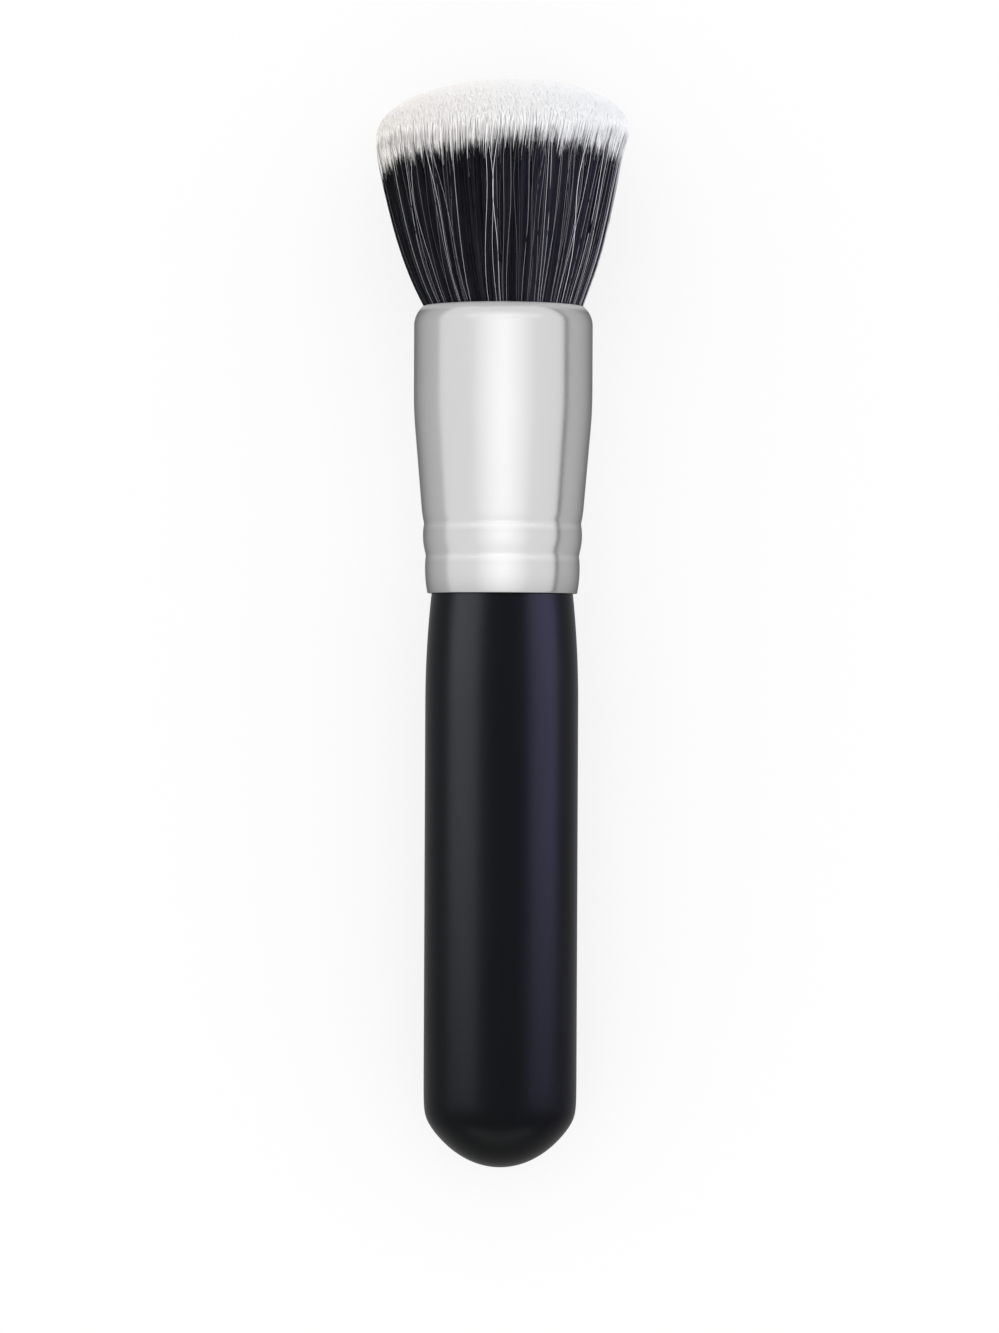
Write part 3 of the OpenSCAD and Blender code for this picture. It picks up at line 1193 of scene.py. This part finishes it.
@dataclass
class Head:
    """The head: dark hair in locks, and longer white fibres that stand above it as the crown.

    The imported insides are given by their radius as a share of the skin's: core_cap is the rounded top of the
    dark one, against the height above its wall, and crown_foot the white one's, against the dark line.
    """

    shape: HeadShape
    core_share: float = 0.95
    wall_share: float = 0.974
    core_depth: float = 1.6
    core_drop: float = 1.6
    core_cap: tuple[Point, ...] = ((0.89, 0.4), (0.5, 0.7), (0.0, 0.8))
    crown_foot: tuple[Point, ...] = ((0.0, -3.0), (0.9, -3.0), (0.92, -1.5), (0.945, 0.0), (0.969, 1.2))
    crown_cover: float = 0.45
    core_steps: int = 144
    core_rings: int = 12
    crown_rings: int = 14
    mottle_seed: int = 5

    def layers(self) -> Iterable[tuple[Fibres, HairTone, Slot, str]]:
        """The head's layers of fibres, each with its finish, slot and the solid that it stands for.

        Returns:
            The layers, from the outside in.
        """
        dark = (DARK_HAIR, Slot.DARK, "goat_hair")
        white = (WHITE_FIBRE, Slot.WHITE, "white_fibres")
        locks = Lock()
        for number in (1, 2):
            yield Fibres(
                f"dark_hair_{number}", 6400, 6, 0.053, (0.955, 1.0), Level.MOUTH, Level.DARK_LINE,
                taper=0.14, drift=0.012, weave=0.005, root=0.65, lock=locks, seed=10 + number,
            ), *dark
        yield Fibres(
            "dark_strays", 80, 10, 0.036, (0.999, 1.004), Level.MOUTH, Level.IN_THE_WHITE,
            taper=0.2, drift=0.03, weave=0.003, seed=15,
        ), *dark
        yield Fibres(
            "white_outer_fibres", 42, 14, 0.036, (1.002, 1.008), Level.MOUTH, Level.CROWN,
            taper=0.1, drift=0.06, weave=0.001, root=0.6, seed=21,
        ), PALE_STRAND, Slot.WHITE, "white_strands"
        yield Fibres(
            "white_long_fibres", 92, 14, 0.026, (1.0, 1.006), Level.MOUTH, Level.CROWN,
            taper=0.1, drift=0.05, weave=0.0015, root=0.7, seed=22,
        ), DIM_STRAND, Slot.WHITE, "white_strands"
        for number in (1, 2):
            yield Fibres(
                f"crown_wall_{number}", 4700, 6, 0.052, (0.9, 0.999), Level.UNDER_DARK_LINE, Level.CROWN,
                taper=0.07, drift=0.01, weave=0.001, tuck=0.06, seed=30 + number,
            ), *white
        for number in (1, 2):
            yield Fibres(
                f"crown_tips_{number}", 30000, 3, 0.055, (0.0, 0.998), Level.BELOW_CROWN, Level.CROWN,
                taper=0.13, drift=0.01, weave=0.002, seed=40 + number,
            ), *white

    def core_mesh(self, name: str, outline: Sequence[Point]) -> bpy.types.Mesh:
        """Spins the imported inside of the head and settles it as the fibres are.

        Args:
            name: The mesh's name.
            outline: Points (share of the skin's radius, place along the brush).

        Returns:
            The closed mesh.
        """
        shape = self.shape
        radii = shape.radius(np.array([place for _, place in outline]))
        section = [(share * r, place) for (share, place), r in zip(outline, radii)]
        mesh = turned(name, section, False, Matrix.Scale(MM, 4), self.core_steps)
        co = np.empty(3 * len(mesh.vertices), np.float32)
        mesh.vertices.foreach_get("co", co)
        places = co.reshape(-1, 3).astype(float) / MM
        turn = np.arctan2(places[:, 1], places[:, 0])
        height = places[:, 2] - shape.mouth
        if name == "dark_core":
            part = np.clip(height / shape.dark_end, 0, 1) ** 3
        else:
            part = np.clip((shape.height - height) / (shape.height - shape.dark_end), 0, 1)
        along = places[:, 2] + shape.rise(turn) * part
        share = np.hypot(places[:, 0], places[:, 1]) / shape.radius(places[:, 2])
        settled = shape.settle(share, turn, along)
        mesh.vertices.foreach_set("co", settled.astype(np.float32).ravel())
        set_tones(mesh, np.random.default_rng(self.mottle_seed).uniform(0, 0.5, len(turn)))
        mesh.update()
        return mesh

    def cores(self) -> Iterable[tuple[str, list[Point], HairTone, Slot, str]]:
        """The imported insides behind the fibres, as outlines of share against place.

        Returns:
            Name, outline, finish, slot and the solid that each stands for.
        """
        mouth, line = self.shape.mouth, self.shape.line
        foot, top = mouth - self.core_depth, line - self.core_drop
        rings = range(1, self.core_rings + 1)
        dark = [(0.0, foot), (self.core_share, foot)]
        dark += [(self.core_share, mouth + (top - mouth) * i / self.core_rings) for i in rings]
        dark += [(share, top + rise) for share, rise in self.core_cap]
        yield "dark_core", dark, DARK_HAIR, Slot.DARK, "goat_hair"
        white = [(share, line + rise) for share, rise in self.crown_foot]
        white.append((self.wall_share, self.shape.rim))
        angles = [math.pi / 2 * i / self.crown_rings for i in range(1, self.crown_rings)]
        for t in [math.cos(angle) for angle in angles] + [0.0]:
            white.append((self.wall_share * t, float(self.shape.crown(np.array(t))) - self.crown_cover))
        yield "crown_core", white, WHITE_FIBRE, Slot.WHITE, "white_fibres"

    def build(self) -> tuple[str, ...]:
        """Builds and dresses the whole head.

        Returns:
            The names of its pieces.
        """
        tones = (DARK_HAIR, PALE_STRAND, DIM_STRAND, WHITE_FIBRE)
        finishes = {tone.name: tone.material() for tone in tones}
        pieces = []
        for name, outline, tone, slot, node in self.cores():
            piece = shown(name, self.core_mesh(name, outline), finishes[tone.name], slot)
            pieces.append(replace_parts(piece, node))
        for fibres, tone, slot, node in self.layers():
            piece = shown(fibres.name, fibres.mesh(self.shape), finishes[tone.name], slot)
            pieces.append(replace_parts(piece, node))
        return tuple(piece.name for piece in pieces)


@dataclass
class Softbox:
    """A soft lamp, placed and sized in metres, which lights only the pieces that it names.

    Attributes:
        radiance: Its brightness seen straight on, where 1 shows as white.
        spread: Angle of its honeycomb, in degrees: its edges look darker when it is narrow.
    """

    name: str
    centre: Triple
    target: Triple
    size: Point
    radiance: float
    lights: tuple[str, ...]
    colour: Colour = (1.0, 1.0, 1.0)
    spread: float = 180

    def build(self) -> None:
        """Makes the lamp."""
        lamp = bpy.data.lights.new(self.name, "AREA")
        lamp.shape = "RECTANGLE"
        lamp.size, lamp.size_y = self.size
        half = math.radians(self.spread) / 2
        gain = math.tan(half) / (math.tan(half) - half) if self.spread < 180 else 1.0
        lamp.energy = self.radiance / gain * math.pi * self.size[0] * self.size[1]
        lamp.color = self.colour
        lamp.spread = math.radians(self.spread)
        placed = in_scene(self.name, lamp)
        placed.location = self.centre
        away = Vector(self.centre) - Vector(self.target)
        placed.rotation_euler = away.to_track_quat("Z", "Y").to_euler()
        lit = bpy.data.collections.new(f"lit_by_{self.name}")
        for name in self.lights:
            lit.objects.link(bpy.data.objects[name])
        placed.light_linking.receiver_collection = lit
        log.info("lamp %s", self.name)


@dataclass
class Studio:
    """The pale floor, the soft light and the camera, which looks down on the brush.

    The camera's places are in millimetres, and the floor's and the dark flag's in metres.
    """

    head: tuple[str, ...]
    picture: tuple[int, int] = (999, 1333)
    mm_per_pixel: float = 0.13787
    aim_along: float = 69.0
    aim_sideways: float = -0.33
    distance: float = 670.0
    sensor: float = 24.0
    roll: float = math.radians(0.26)
    floor_size: float = 6.0
    floor_colour: Colour = (0.2,) * 3
    floor_glow: float = 0.785
    metal_share: float = 0.55
    world_fill: float = 1.0
    flag_x: float = 1.0
    flag_h: float = 0.1
    flag_length: float = 4.0
    flag_colour: Colour = (0.05,) * 3

    def camera(self) -> None:
        """Sets the camera square to the brush's axis, as the photograph was taken."""
        data = bpy.data.cameras.new("camera")
        data.sensor_fit = "VERTICAL"
        data.sensor_height = self.sensor
        frame_height = self.picture[1] * self.mm_per_pixel
        data.lens = data.sensor_height * self.distance / frame_height
        data.clip_start = 0.01
        up = AXIS.along * math.cos(self.roll) - Vector((1, 0, 0)) * math.sin(self.roll)
        right = up.cross(AXIS.above)
        turn = Matrix((right, up, AXIS.above)).transposed().to_4x4()
        place = AXIS.place(np.array([self.aim_sideways, self.distance, self.aim_along]))
        camera = in_scene("camera", data)
        camera.matrix_world = Matrix.Translation(Vector(place)) @ turn
        bpy.context.scene.camera = camera

    @staticmethod
    def card(name: str, material: bpy.types.Material, matrix: Matrix) -> bpy.types.Object:
        """Puts a flat card in the studio.

        Args:
            name: The card's name.
            material: Its material.
            matrix: Stretches, turns and moves a card of one metre a side.

        Returns:
            The card.
        """
        made = bmesh.new()
        bmesh.ops.create_grid(made, x_segments=1, y_segments=1, size=0.5)
        bmesh.ops.transform(made, matrix=matrix, verts=made.verts)
        mesh = bpy.data.meshes.new(name)
        made.to_mesh(mesh)
        made.free()
        mesh.materials.append(material)
        card = in_scene(name, mesh)
        return card

    def floor(self) -> None:
        """Lays the floor, which shows white and keeps the brush's shadow."""
        material = bpy.data.materials.new("pale_floor")
        shader = Shader(material)
        matt = shader.node("ShaderNodeBsdfDiffuse", {}, {"Color": (*self.floor_colour, 1)})
        shares = {Visible.CAMERA: 1, Visible.TRANSMISSION: 1, Visible.GLOSSY: self.metal_share}
        rays = [shader.node("ShaderNodeLightPath", output=ray.value) * shares[ray] for ray in shares]
        seen = (rays[0] + rays[1] + rays[2]).clamp()
        glow = shader.node("ShaderNodeEmission", {}, {"Strength": seen * self.floor_glow})
        shader.finish(shader.node("ShaderNodeAddShader", {}, {0: matt, 1: glow}))
        self.card("floor", material, Matrix.Diagonal((self.floor_size, self.floor_size, 1, 1)))

    def flag(self) -> None:
        """Stands the low dark card whose reflection draws the fine line down the ferrule's right side."""
        material = bpy.data.materials.new("dark_card")
        Shader(material).surface(Base_Color=(*self.flag_colour, 1), Roughness=0.8)
        stretch = Matrix.Diagonal((self.flag_h, self.flag_length, 1, 1))
        place = Matrix.Translation((self.flag_x, 0, self.flag_h / 2))
        upright = Matrix.Rotation(math.pi / 2, 4, "Y")
        self.card("dark_flag", material, place @ upright @ stretch).visible_camera = False

    def world(self) -> None:
        """Fills the room with plain white light."""
        world = bpy.data.worlds.new("studio")
        bpy.context.scene.world = world
        shader = Shader(world)
        light = {"Color": (1, 1, 1, 1), "Strength": self.world_fill}
        shader.finish(shader.node("ShaderNodeBackground", {}, light))

    def lamps(self) -> Iterable[Softbox]:
        """The studio's lamps.

        Returns:
            The lamps.
        """
        head, ferrule, handle = self.head, ("satin_ferrule",), ("lacquered_handle",)
        bright = ("floor", *ferrule, *head)
        cool, violet = (0.86, 0.89, 1.0), (0.6, 0.57, 1.0)
        grip = (0, -0.015, 0.01)
        yield Softbox("crown_fill", (0, 1.1, 0.45), (0, 0.07, 0.02), (5.0, 1.2), 0.9, head)
        yield Softbox("head_top", (0, 0.07, 1.2), (0, 0.07, 0), (1.5, 1.5), 0.2, head)
        yield Softbox("head_left", (-0.9, 0.12, 0.22), (0, 0.12, 0.02), (1.2, 0.4), 1.9, head)
        yield Softbox("head_right", (0.9, 0.12, 0.22), (0, 0.12, 0.02), (1.2, 0.4), 1.9, head)
        yield Softbox("head_low", (0, -1.0, 0.55), (0, 0.07, 0.02), (2.4, 0.6), 0.45, head)
        yield Softbox("overhead", (0, -0.11, 1.3), (0, 0, 0), (2.5, 2.6), 0.515, bright, spread=84)
        yield Softbox("lip_light", (0, 0.62, 1.1), (0, 0, 0), (2.6, 0.5), 0.16, ferrule)
        yield Softbox("foot_fill", (0, -0.9, 0.1), (0, 0, 0.01), (1.2, 0.4), 1.9, handle)
        yield Softbox("left_key", (-0.35, 0.075, 0.235), grip, (0.32, 0.39), 12, handle, cool)
        yield Softbox("right_fill", (0.365, 0.075, 0.17), grip, (0.32, 0.37), 13, handle, violet)

    def build(self) -> None:
        """Builds the studio."""
        bpy.context.scene.view_settings.view_transform = "Standard"
        self.camera()
        self.floor()
        self.flag()
        self.world()
        for lamp in self.lamps():
            lamp.build()


LIP_GAP = 0.06


def main() -> None:
    """Builds the brush and its studio."""
    logging.basicConfig(level=logging.INFO, format="%(message)s")
    ferrule = Ferrule()
    Handle().build()
    ferrule.build()
    Root().dress()
    head = Head(HeadShape(mouth=ferrule.mouth, lip_r=ferrule.lip_r - LIP_GAP)).build()
    Studio(head).build()


if __name__ == "__main__":
    main()
